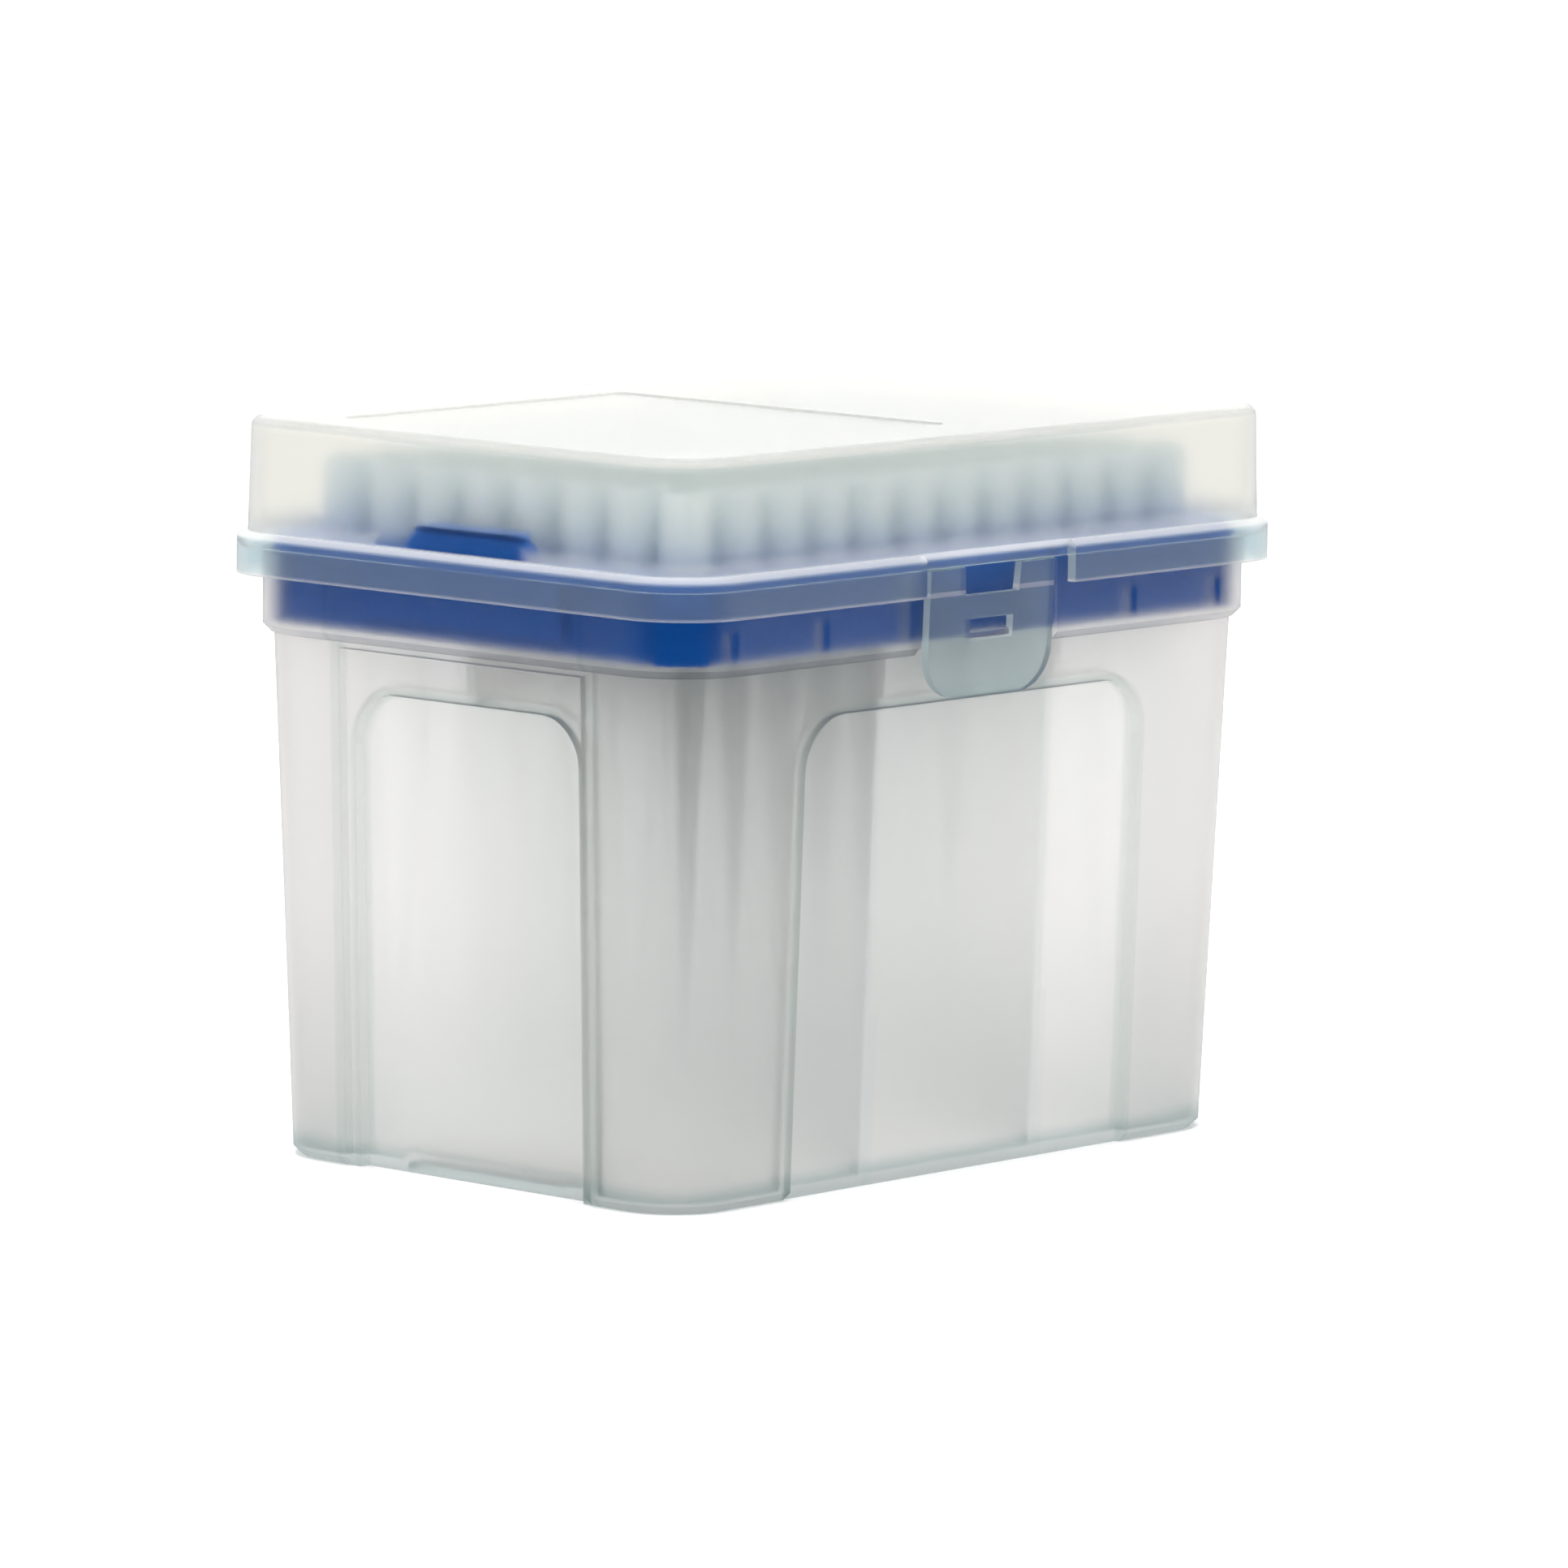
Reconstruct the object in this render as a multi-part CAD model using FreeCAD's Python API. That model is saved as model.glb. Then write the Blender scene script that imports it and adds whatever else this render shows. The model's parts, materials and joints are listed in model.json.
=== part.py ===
"""Hinged-lid box of pipette tips, in millimetres, +Z up.

The origin is the centre of the tub's underside. X runs along the long sides, and the latch is on -Y.
Everything is injection-moulded polypropylene: a deep drafted tub with arched recesses, a hinged lid
whose latch hangs from a living hinge, a blue tray that rests on a ledge in the tub, and the tips.
"""
import FreeCAD, Part
import math
import os

V = FreeCAD.Vector

# tips and the grid they stand in
PITCH = 9.0
COLUMNS = 12
ROWS = 8
TIP_SPACING = 0.7
TIP_LENGTH = 80.0
TIP_COLLAR_LENGTH = 11.0
TIP_COLLAR_WALL = 0.8
TIP_SHOULDER = 0.85
TIP_POINT_RADIUS = 0.6
TIP_SOCKET_DEPTH = 9.0
TIP_SOCKET_TAPER = 0.35
TIP_FLATS = 6

# tub: it stands clear of the outer tips by the margins, and of their points by the room below
WALL = 1.2
FLOOR = 1.4
TUB_END_MARGIN = 11.5
TUB_SIDE_MARGIN = 10.1
TIP_ROOM_BELOW = 16.8
TUB_CORNER = 10.5
TUB_DRAFT = 1.75
BOTTOM_BEVEL = 1.2

# collar: the wider band at the top of the tub, with the ledge for the tray inside it
COLLAR_STEP = 1.7
COLLAR_HEIGHT = 11.7
COLLAR_BEVEL = 1.1
LEDGE_THICKNESS = 1.5
RIB_WIDTH = 1.4
RIB_HEIGHT = 4.5
RIB_GAP = 0.3
RIB_PLACES = (32.5, 51.0)

# arched recesses in the four faces, and the step back between the corner posts of the short faces
SHOULDER_DROP = 1.0
ARCH_DROP = 6.0
LONG_ARCH_HALF = 35.5
LONG_ARCH_CORNER = 8.0
LONG_ARCH_DEPTH = 1.5
SHORT_ARCH_HALF = 21.2
SHORT_ARCH_CORNER = 7.0
SHORT_ARCH_DEPTH = 1.6
STEP_BACK_BORDER = 1.6
STEP_BACK_DEPTH = 1.2

# stacking notches under the short faces
NOTCH_HALF = 14.5
NOTCH_DEPTH = 1.2
NOTCH_REACH = 9.0

# walls inside the tub that carry the middle of the tray
SUPPORT_WALL = 1.4
SUPPORT_COLUMNS_FROM_CENTRE = 2
SUPPORT_SKIRT_GAP = 0.5
TIE_HEIGHT = 7.0

# tray
TRAY_RISE = 1.5
TRAY_PLATE = 2.0
TRAY_SKIRT_WALL = 1.2
TRAY_RIM_GAP = 0.5
TRAY_SKIRT_GAP = 1.9
TRAY_HOLE_GAP = 0.25
CORNER_PAD = 7.5
SIDE_PAD_HALF = 19.0
SIDE_PAD_RISE = 2.0
SIDE_PAD_GAP = 0.4
TAB_HALF = 11.6
TAB_INSET = 2.0
TAB_RISE = 3.0
TAB_THICK = 1.8
TAB_CORNER = 2.6

# lid: its skirt stands over the collar's rim and a little outside it
LID_SEAT_GAP = 0.2
LID_HEIGHT = 18.1
LID_END_STEP = 0.8
LID_SIDE_STEP = 0.7
LID_CORNER = 9.5
LID_DRAFT = 1.6
LID_WALL = 1.25
LID_TOP = 1.3
LID_ROUND = 1.3
LID_ROUND_STEPS = 3
FLANGE_STEP = 1.5
FLANGE_WALL = 1.4
FLANGE_BELOW = 3.7
FLANGE_ABOVE = 2.2
FLANGE_BEVEL = 0.7
LABEL_LENGTH = 58.0
LABEL_END_MARGIN = 10.5
LABEL_SIDE_MARGIN = 13.0
LABEL_CORNER = 2.0
LABEL_DEPTH = 0.3
GATE_RADIUS = 1.5

# latch and catch
LATCH_HALF = 13.1
LATCH_BELOW_CATCH = 8.2
LATCH_THICK = 1.2
LATCH_REST_GAP = 0.5
LATCH_CORNER = 6.5
LATCH_GAP = 0.3
LATCH_POCKET_GAP = 1.3
LATCH_NOTCH_GAP = 2.6
LATCH_WINDOW_TOP_HALF = 6.0
LATCH_WINDOW_BOTTOM_HALF = 5.6
LATCH_WINDOW_HEIGHT = 3.9
CATCH_HALF = 4.2
CATCH_BELOW_RIM = 10.0
CATCH_HEIGHT = 1.8
CATCH_NOSE = 0.72
CATCH_REACH = 1.7
SLOT_GAP = 0.35
SLOT_HEADROOM = 0.9

# hinge: pins moulded in the tub's ears, clips moulded on the lid
HINGE_X = 32.0
HINGE_OUT = 4.7
HINGE_BELOW_RIM = 1.7
PIN_RADIUS = 1.5
PIN_CLEARANCE = 0.06
CLIP_WALL = 1.2
CLIP_WIDTH = 10.0
CLIP_MOUTH_SHARE = 0.85
EAR_WALL = 1.6
EAR_GAP = 0.3
EAR_DROP = 5.5
EAR_RIM = 0.8
EAR_ROOT_DROP = 0.09
HINGE_NOTCH_MARGIN = 0.8

# worked out from the sizes above: plan sizes
TIP_COLLAR_RADIUS = (PITCH - TIP_SPACING) / 2
TIP_SHANK_RADIUS = TIP_COLLAR_RADIUS - TIP_SHOULDER
TIP_SOCKET_RADIUS = TIP_COLLAR_RADIUS - TIP_COLLAR_WALL
TUB_HALF_X = (COLUMNS - 1) / 2 * PITCH + TUB_END_MARGIN
TUB_HALF_Y = (ROWS - 1) / 2 * PITCH + TUB_SIDE_MARGIN
SLOPE = math.tan(math.radians(TUB_DRAFT))
STEP_BACK_HALF = SHORT_ARCH_HALF + STEP_BACK_BORDER
COLLAR_HALF_X = TUB_HALF_X + COLLAR_STEP
COLLAR_HALF_Y = TUB_HALF_Y + COLLAR_STEP
COLLAR_CORNER = TUB_CORNER + COLLAR_STEP
SUPPORT_X = SUPPORT_COLUMNS_FROM_CENTRE * PITCH
LID_HALF_X = COLLAR_HALF_X + LID_END_STEP
LID_HALF_Y = COLLAR_HALF_Y + LID_SIDE_STEP
LID_SLOPE = math.tan(math.radians(LID_DRAFT))
LATCH_POCKET_HALF = LATCH_HALF + LATCH_POCKET_GAP
LATCH_NOTCH_HALF = LATCH_HALF + LATCH_NOTCH_GAP
HINGE_Y = COLLAR_HALF_Y + HINGE_OUT
EAR_RADIUS = PIN_RADIUS + EAR_RIM
FAR = 400.0

# worked out from the sizes above: heights, from the tips' points up to the lid and down the collar
TRAY_TOP_Z = FLOOR + TIP_ROOM_BELOW + TIP_LENGTH - TIP_COLLAR_LENGTH
RIM_Z = TRAY_TOP_Z - TRAY_RISE
COLLAR_Z = RIM_Z - COLLAR_HEIGHT
LEDGE_Z = COLLAR_Z + LEDGE_THICKNESS
SHOULDER_Z = COLLAR_Z - SHOULDER_DROP
ARCH_TOP_Z = SHOULDER_Z - ARCH_DROP
LID_BOTTOM_Z = RIM_Z + LID_SEAT_GAP
LID_TOP_Z = LID_BOTTOM_Z + LID_HEIGHT
FLANGE_BOTTOM_Z = LID_BOTTOM_Z - FLANGE_BELOW
FLANGE_TOP_Z = LID_BOTTOM_Z + FLANGE_ABOVE
CATCH_Z = RIM_Z - CATCH_BELOW_RIM
LATCH_BOTTOM_Z = CATCH_Z - LATCH_BELOW_CATCH
HINGE_Z = RIM_Z - HINGE_BELOW_RIM


def rounded_rectangle(half_x, half_y, corner, z):
    """Closed wire of a rectangle with round corners, at height z."""
    start_x = half_x - corner
    start_y = half_y - corner
    edges = []
    for turn, (sign_x, sign_y) in enumerate(((1, 1), (-1, 1), (-1, -1), (1, -1))):
        centre = V(sign_x * start_x, sign_y * start_y, z)
        edges.append(Part.makeCircle(corner, centre, V(0, 0, 1), 90 * turn, 90 * turn + 90))
    wire_edges = []
    for index, arc in enumerate(edges):
        following = edges[(index + 1) % 4]
        wire_edges.append(arc)
        wire_edges.append(Part.makeLine(arc.Vertexes[-1].Point, following.Vertexes[0].Point))
    return Part.Wire(wire_edges)


def block(half_x, half_y, corner, low_z, high_z):
    """Upright block with rounded corners."""
    face = Part.Face(rounded_rectangle(half_x, half_y, corner, low_z))
    return face.extrude(V(0, 0, high_z - low_z))


def box(low, high):
    """Box between two corners."""
    size = [b - a for a, b in zip(low, high)]
    return Part.makeBox(size[0], size[1], size[2], V(*low))


def mirrored_pair(shape, axis):
    """The shape and its mirror image across the plane square to axis."""
    return [shape, shape.mirror(V(0, 0, 0), axis)]


def fuse(shapes):
    """One solid out of several that meet."""
    return shapes[0].multiFuse(shapes[1:]).removeSplitter()


def frustum(low_points, high_points):
    """Solid with flat faces between two polygons that have as many corners."""
    count = len(low_points)
    faces = [
        Part.Face(Part.makePolygon(low_points + low_points[:1])),
        Part.Face(Part.makePolygon(high_points + high_points[:1])),
    ]
    for index in range(count):
        following = (index + 1) % count
        side = [low_points[index], low_points[following], high_points[following], high_points[index]]
        faces.append(Part.Face(Part.makePolygon(side + side[:1])))
    solid = Part.Solid(Part.Shell(faces))
    if solid.Volume < 0:
        solid.reverse()
    return solid


def stacked_block(half_x, half_y, corner, levels):
    """Round-cornered block drawn in by a stated amount at each level, from the bottom to the top.

    The corner radius shrinks by the same amount, so the corners keep their upright centre lines.
    """
    rings = [rounded_rectangle(half_x - inset, half_y - inset, corner - inset, z) for inset, z in levels]
    faces = [Part.Face(rings[0]), Part.Face(rings[-1])]
    for low, high in zip(rings, rings[1:]):
        for low_edge, high_edge in zip(low.Edges, high.Edges):
            if isinstance(low_edge.Curve, Part.Line):
                start, end = [vertex.Point for vertex in low_edge.Vertexes]
                above = sorted((vertex.Point for vertex in high_edge.Vertexes), key=end.distanceToPoint)
                faces.append(Part.Face(Part.makePolygon([start, end] + above + [start])))
            else:
                faces.append(Part.makeRuledSurface(low_edge, high_edge))
    shell = Part.Shell(faces)
    shell.sewShape()
    solid = Part.Solid(shell)
    if solid.Volume < 0:
        solid.reverse()
    return solid


def tub_block(inset, low_z, high_z, bevel=0.0):
    """The tub's drafted outer form, drawn in by inset, between two heights.

    Its sides are flat and its corners keep one radius from the floor to the rim.
    """
    low_shrink = inset + (SHOULDER_Z - low_z) * SLOPE
    high_shrink = inset + (SHOULDER_Z - high_z) * SLOPE
    low_x, low_y = TUB_HALF_X - low_shrink, TUB_HALF_Y - low_shrink
    high_x, high_y = TUB_HALF_X - high_shrink, TUB_HALF_Y - high_shrink
    body = Part.makeWedge(-low_x, low_z, -low_y, -high_y, -high_x, low_x, high_z, low_y, high_y, high_x)
    body.rotate(V(0, 0, 0), V(1, 0, 0), 90)
    corners = [edge for edge in body.Edges if edge.BoundBox.ZLength > (high_z - low_z) / 2]
    body = body.makeFillet(TUB_CORNER - inset, corners)
    if bevel > 0:
        rim = [edge for edge in body.Edges if edge.BoundBox.ZMax < low_z + bevel / 2]
        body = body.makeChamfer(bevel, rim)
    return body


def lid_block(inset, low_z, high_z, rounding=0.0):
    """The lid's drafted outer form, drawn in by inset, between two heights."""
    levels = [(inset + (z - LID_BOTTOM_Z) * LID_SLOPE, z) for z in (low_z, high_z - rounding)]
    if rounding > 0:
        start = levels[-1][0]
        for step in range(1, LID_ROUND_STEPS + 1):
            angle = math.pi / 2 * step / LID_ROUND_STEPS
            drawn_in = start + rounding * (1 - math.cos(angle))
            levels.append((drawn_in, high_z - rounding * (1 - math.sin(angle))))
    return stacked_block(LID_HALF_X, LID_HALF_Y, LID_CORNER, levels)


def arch_prism(half_width, corner, top_z, along_x):
    """Solid with an arch outline that runs through the whole tub along X or Y."""
    low = V(-half_width, 0, -FAR)
    shoulder = top_z - corner
    bend = corner * math.sqrt(0.5)
    right_middle = V(half_width - corner + bend, 0, shoulder + bend)
    left_middle = V(-half_width + corner - bend, 0, shoulder + bend)
    right_arc = Part.Arc(V(half_width, 0, shoulder), right_middle, V(half_width - corner, 0, top_z))
    left_arc = Part.Arc(V(-half_width + corner, 0, top_z), left_middle, V(-half_width, 0, shoulder))
    edges = [
        Part.makeLine(low, V(half_width, 0, -FAR)),
        Part.makeLine(V(half_width, 0, -FAR), V(half_width, 0, shoulder)),
        right_arc.toShape(),
        Part.makeLine(V(half_width - corner, 0, top_z), V(-half_width + corner, 0, top_z)),
        left_arc.toShape(),
        Part.makeLine(V(-half_width, 0, shoulder), low),
    ]
    prism = Part.Face(Part.Wire(edges)).extrude(V(0, FAR, 0))
    prism.translate(V(0, -FAR / 2, 0))
    if along_x:
        prism.rotate(V(0, 0, 0), V(0, 0, 1), 90)
    return prism


def recessed_tub(inset, high_z):
    """Tub form with its recesses, drawn in by inset on every side, up to high_z."""
    low_z = 0.0 if inset == 0 else FLOOR
    bevel = BOTTOM_BEVEL if inset == 0 else 0.0
    body = tub_block(inset, low_z, high_z, bevel)
    long_arch = arch_prism(LONG_ARCH_HALF + inset, LONG_ARCH_CORNER + inset, ARCH_TOP_Z + inset, False)
    short_arch = arch_prism(SHORT_ARCH_HALF + inset, SHORT_ARCH_CORNER + inset, ARCH_TOP_Z + inset, True)
    between_posts = box(
        (-FAR / 2, -STEP_BACK_HALF - inset, -FAR / 2),
        (FAR / 2, STEP_BACK_HALF + inset, SHOULDER_Z + inset),
    )
    depths = (
        (long_arch, LONG_ARCH_DEPTH, 0.0),
        (between_posts, STEP_BACK_DEPTH, 1.0),
        (short_arch, STEP_BACK_DEPTH + SHORT_ARCH_DEPTH, 1.0),
    )
    for prism, depth, along_x in depths:
        core = tub_block(inset + depth, -1.0, LEDGE_Z + 1.0)
        body = body.cut(prism.cut(core))
    return body


def make_base_box():
    """Tub with its collar, catch, hinge ears and the walls that carry the tray."""
    outer = recessed_tub(0.0, COLLAR_Z)
    levels = ((COLLAR_BEVEL, COLLAR_Z), (0.0, COLLAR_Z + COLLAR_BEVEL), (0.0, RIM_Z))
    collar = stacked_block(COLLAR_HALF_X, COLLAR_HALF_Y, COLLAR_CORNER, levels)
    pocket_y = -TUB_HALF_Y
    collar = collar.cut(box((-LATCH_POCKET_HALF, -FAR, 0), (LATCH_POCKET_HALF, pocket_y, FAR)))
    cavity = recessed_tub(WALL, LEDGE_Z + 0.5)
    well = block(COLLAR_HALF_X - WALL, COLLAR_HALF_Y - WALL, COLLAR_CORNER - WALL, LEDGE_Z, RIM_Z + 1)
    pocket_half = LATCH_POCKET_HALF + WALL
    well = well.cut(box((-pocket_half, -FAR, 0), (pocket_half, pocket_y + WALL, FAR)))
    tub = fuse([outer, collar]).cut(cavity).cut(well)
    additions = collar_ribs() + support_walls() + [catch()]
    for x in (-HINGE_X, HINGE_X):
        additions.append(hinge_station(x))
    tub = fuse([tub] + additions)
    return stacking_notches(tub)


def collar_ribs():
    """Small upright ribs inside the collar's long sides that keep the tray's skirt centred."""
    wall_y = COLLAR_HALF_Y - WALL
    depth = TRAY_SKIRT_GAP - RIB_GAP
    ribs = []
    for place in RIB_PLACES:
        for x in (-place, place):
            low = (x - RIB_WIDTH / 2, wall_y - depth, LEDGE_Z - 0.5)
            high = (x + RIB_WIDTH / 2, wall_y + WALL / 2, LEDGE_Z + RIB_HEIGHT)
            ribs += mirrored_pair(box(low, high), V(0, 1, 0))
    return ribs


def support_walls():
    """Two cross walls between tip columns, and a tie from each to its short face."""
    skirt_inside = COLLAR_HALF_Y - WALL - TRAY_SKIRT_GAP - TRAY_SKIRT_WALL
    top_z = TRAY_TOP_Z - TRAY_PLATE
    half = SUPPORT_WALL / 2
    inside = recessed_tub(WALL / 2, LEDGE_Z)
    walls = []
    for x in (-SUPPORT_X, SUPPORT_X):
        low_part = box((x - half, -FAR / 2, FLOOR / 2), (x + half, FAR / 2, COLLAR_Z))
        walls.append(low_part.common(inside))
        upper_half = skirt_inside - SUPPORT_SKIRT_GAP
        walls.append(box((x - half, -upper_half, COLLAR_Z - 0.5), (x + half, upper_half, top_z)))
    tie = box((-FAR / 2, -half, ARCH_TOP_Z), (-SUPPORT_X, half, ARCH_TOP_Z + TIE_HEIGHT)).common(inside)
    walls += mirrored_pair(tie, V(1, 0, 0))
    return walls


def catch():
    """Wedge on the pocket's wall that the latch's slot hooks under."""
    wall_y = -TUB_HALF_Y
    nose_y = wall_y - CATCH_REACH
    top_z = CATCH_Z + CATCH_HEIGHT
    outline = [
        V(-CATCH_HALF, wall_y + WALL / 2, CATCH_Z),
        V(-CATCH_HALF, nose_y, CATCH_Z),
        V(-CATCH_HALF, nose_y, CATCH_Z + CATCH_NOSE),
        V(-CATCH_HALF, wall_y, top_z),
        V(-CATCH_HALF, wall_y + WALL / 2, top_z),
    ]
    face = Part.Face(Part.makePolygon(outline + [outline[0]]))
    return face.extrude(V(2 * CATCH_HALF, 0, 0))


def hinge_station(x):
    """Pair of ears on the back of the collar with the pin that the lid's clip turns on."""
    inner = CLIP_WIDTH / 2 + EAR_GAP
    bevel = EAR_RADIUS * 0.6
    root_y = COLLAR_HALF_Y - WALL / 2
    low_z = HINGE_Z - EAR_DROP
    profile = (
        (root_y, low_z),
        (COLLAR_HALF_Y, low_z),
        (HINGE_Y + bevel, HINGE_Z - EAR_RADIUS),
        (HINGE_Y + EAR_RADIUS, HINGE_Z - EAR_RADIUS + bevel),
        (HINGE_Y + EAR_RADIUS, HINGE_Z + EAR_RADIUS - bevel),
        (HINGE_Y + bevel, HINGE_Z + EAR_RADIUS),
        (root_y, RIM_Z - EAR_ROOT_DROP),
    )
    pieces = []
    for low_x in (x - inner - EAR_WALL, x + inner):
        outline = [V(low_x, y, z) for y, z in profile]
        pieces.append(Part.Face(Part.makePolygon(outline + outline[:1])).extrude(V(EAR_WALL, 0, 0)))
    length = 2 * (inner + EAR_WALL / 2)
    pieces.append(Part.makeCylinder(PIN_RADIUS, length, V(x - length / 2, HINGE_Y, HINGE_Z), V(1, 0, 0)))
    return fuse(pieces)


def stacking_notches(tub):
    """Shallow notches under the short faces, with the floor raised over them to keep its thickness."""
    wall_x = TUB_HALF_X - SHOULDER_Z * SLOPE - STEP_BACK_DEPTH - SHORT_ARCH_DEPTH
    inner_x = wall_x - NOTCH_REACH
    raised = box((inner_x - FLOOR, -NOTCH_HALF - FLOOR, FLOOR / 2),
                 (wall_x - WALL / 2, NOTCH_HALF + FLOOR, FLOOR + NOTCH_DEPTH))
    notch = box((inner_x, -NOTCH_HALF, -1.0), (wall_x - WALL, NOTCH_HALF, NOTCH_DEPTH))
    tub = fuse([tub] + mirrored_pair(raised, V(1, 0, 0)))
    for cutter in mirrored_pair(notch, V(1, 0, 0)):
        tub = tub.cut(cutter)
    return tub


def tip_centres():
    """Grid places of the tips, column by column."""
    columns = []
    for column in range(COLUMNS):
        x = (column - (COLUMNS - 1) / 2) * PITCH
        columns.append([(x, (row - (ROWS - 1) / 2) * PITCH) for row in range(ROWS)])
    return columns


def make_tray():
    """Blue rack: holed plate, skirt, corner and side pads, and a finger tab at each short side."""
    half_x = COLLAR_HALF_X - WALL - TRAY_RIM_GAP
    half_y = COLLAR_HALF_Y - WALL - TRAY_RIM_GAP
    corner = COLLAR_CORNER - WALL - TRAY_RIM_GAP
    skirt_inset = TRAY_SKIRT_GAP - TRAY_RIM_GAP
    plate_z = TRAY_TOP_Z - TRAY_PLATE
    skirt_y = half_y - skirt_inset
    plate = block(half_x, half_y, corner, plate_z, TRAY_TOP_Z)
    keep_clear = LATCH_POCKET_HALF + WALL + TRAY_RIM_GAP
    plate = plate.cut(box((-keep_clear, -FAR, 0), (keep_clear, -skirt_y, FAR)))
    skirt_outer = block(half_x - skirt_inset, skirt_y, corner - skirt_inset, LEDGE_Z, plate_z)
    inset = skirt_inset + TRAY_SKIRT_WALL
    skirt_inner = block(half_x - inset, half_y - inset, corner - inset, LEDGE_Z, plate_z)
    skirt = skirt_outer.cut(skirt_inner)
    padding = block(half_x, half_y, corner, LEDGE_Z, plate_z).cut(skirt_outer)
    pieces = [plate, skirt]
    for angle in (45, 135):
        slab = box((-FAR, -CORNER_PAD / 2, 0), (FAR, CORNER_PAD / 2, FAR))
        slab.rotate(V(0, 0, 0), V(0, 0, 1), angle)
        reach = half_x - half_y
        for shift in (-reach, reach):
            moved = slab.copy()
            moved.translate(V(shift, 0, 0))
            corner_zone = box((half_x - corner - 2, half_y - corner - 2, 0), (FAR, FAR, FAR))
            for sign_x in (-1, 1):
                for sign_y in (-1, 1):
                    zone = corner_zone.copy()
                    if sign_x < 0:
                        zone = zone.mirror(V(0, 0, 0), V(1, 0, 0))
                    if sign_y < 0:
                        zone = zone.mirror(V(0, 0, 0), V(0, 1, 0))
                    pad = padding.common(moved).common(zone)
                    if pad.Volume > 1.0:
                        pieces.append(pad)
    side_slab = box((0, -SIDE_PAD_HALF, LEDGE_Z + SIDE_PAD_RISE), (FAR, SIDE_PAD_HALF, FAR))
    side_pad = block(half_x - SIDE_PAD_GAP, half_y, corner, LEDGE_Z, plate_z).cut(skirt_outer).common(side_slab)
    pieces += mirrored_pair(side_pad, V(1, 0, 0))
    pieces += mirrored_pair(finger_tab(half_x), V(1, 0, 0))
    tray = fuse(pieces)
    hole_radius = TIP_SHANK_RADIUS + TRAY_HOLE_GAP
    holes = []
    for column in tip_centres():
        for x, y in column:
            holes.append(polygon_prism(x, y, hole_radius, hole_radius, plate_z - 1, TRAY_TOP_Z + 1))
    return tray.cut(Part.makeCompound(holes))


def finger_tab(half_x):
    """Round-cornered tab that stands on the tray's short side."""
    low_x = half_x - TAB_INSET - TAB_THICK
    top_z = TRAY_TOP_Z + TAB_RISE
    tab = box((low_x, -TAB_HALF, TRAY_TOP_Z - 0.5), (low_x + TAB_THICK, TAB_HALF, top_z))
    round_edges = []
    for edge in tab.Edges:
        limits = edge.BoundBox
        if abs(limits.ZMin - top_z) < 1e-4 and abs(limits.YMax - limits.YMin) < 1e-4:
            round_edges.append(edge)
    return tab.makeFillet(TAB_CORNER, round_edges)


def polygon_points(x, y, radius, z):
    """Corners of a level polygon with a flat towards +X."""
    points = []
    for index in range(TIP_FLATS):
        angle = 2 * math.pi * (index + 0.5) / TIP_FLATS
        points.append(V(x + radius * math.cos(angle), y + radius * math.sin(angle), z))
    return points


def polygon_prism(x, y, low_radius, high_radius, low_z, high_z):
    """Upright prism or taper with the tips' number of flats."""
    return frustum(polygon_points(x, y, low_radius, low_z), polygon_points(x, y, high_radius, high_z))


def make_tip(x, y):
    """Tip with a fluted collar that rests on the tray, a tapered shank and a socket for the pipette."""
    top_z = TRAY_TOP_Z + TIP_COLLAR_LENGTH
    collar = polygon_prism(x, y, TIP_COLLAR_RADIUS, TIP_COLLAR_RADIUS, TRAY_TOP_Z, top_z)
    shank = polygon_prism(x, y, TIP_POINT_RADIUS, TIP_SHANK_RADIUS, top_z - TIP_LENGTH, TRAY_TOP_Z)
    narrow = TIP_SOCKET_RADIUS - TIP_SOCKET_TAPER
    socket = polygon_prism(x, y, narrow, TIP_SOCKET_RADIUS, top_z - TIP_SOCKET_DEPTH, top_z)
    return collar.fuse(shank).cut(socket)


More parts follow.
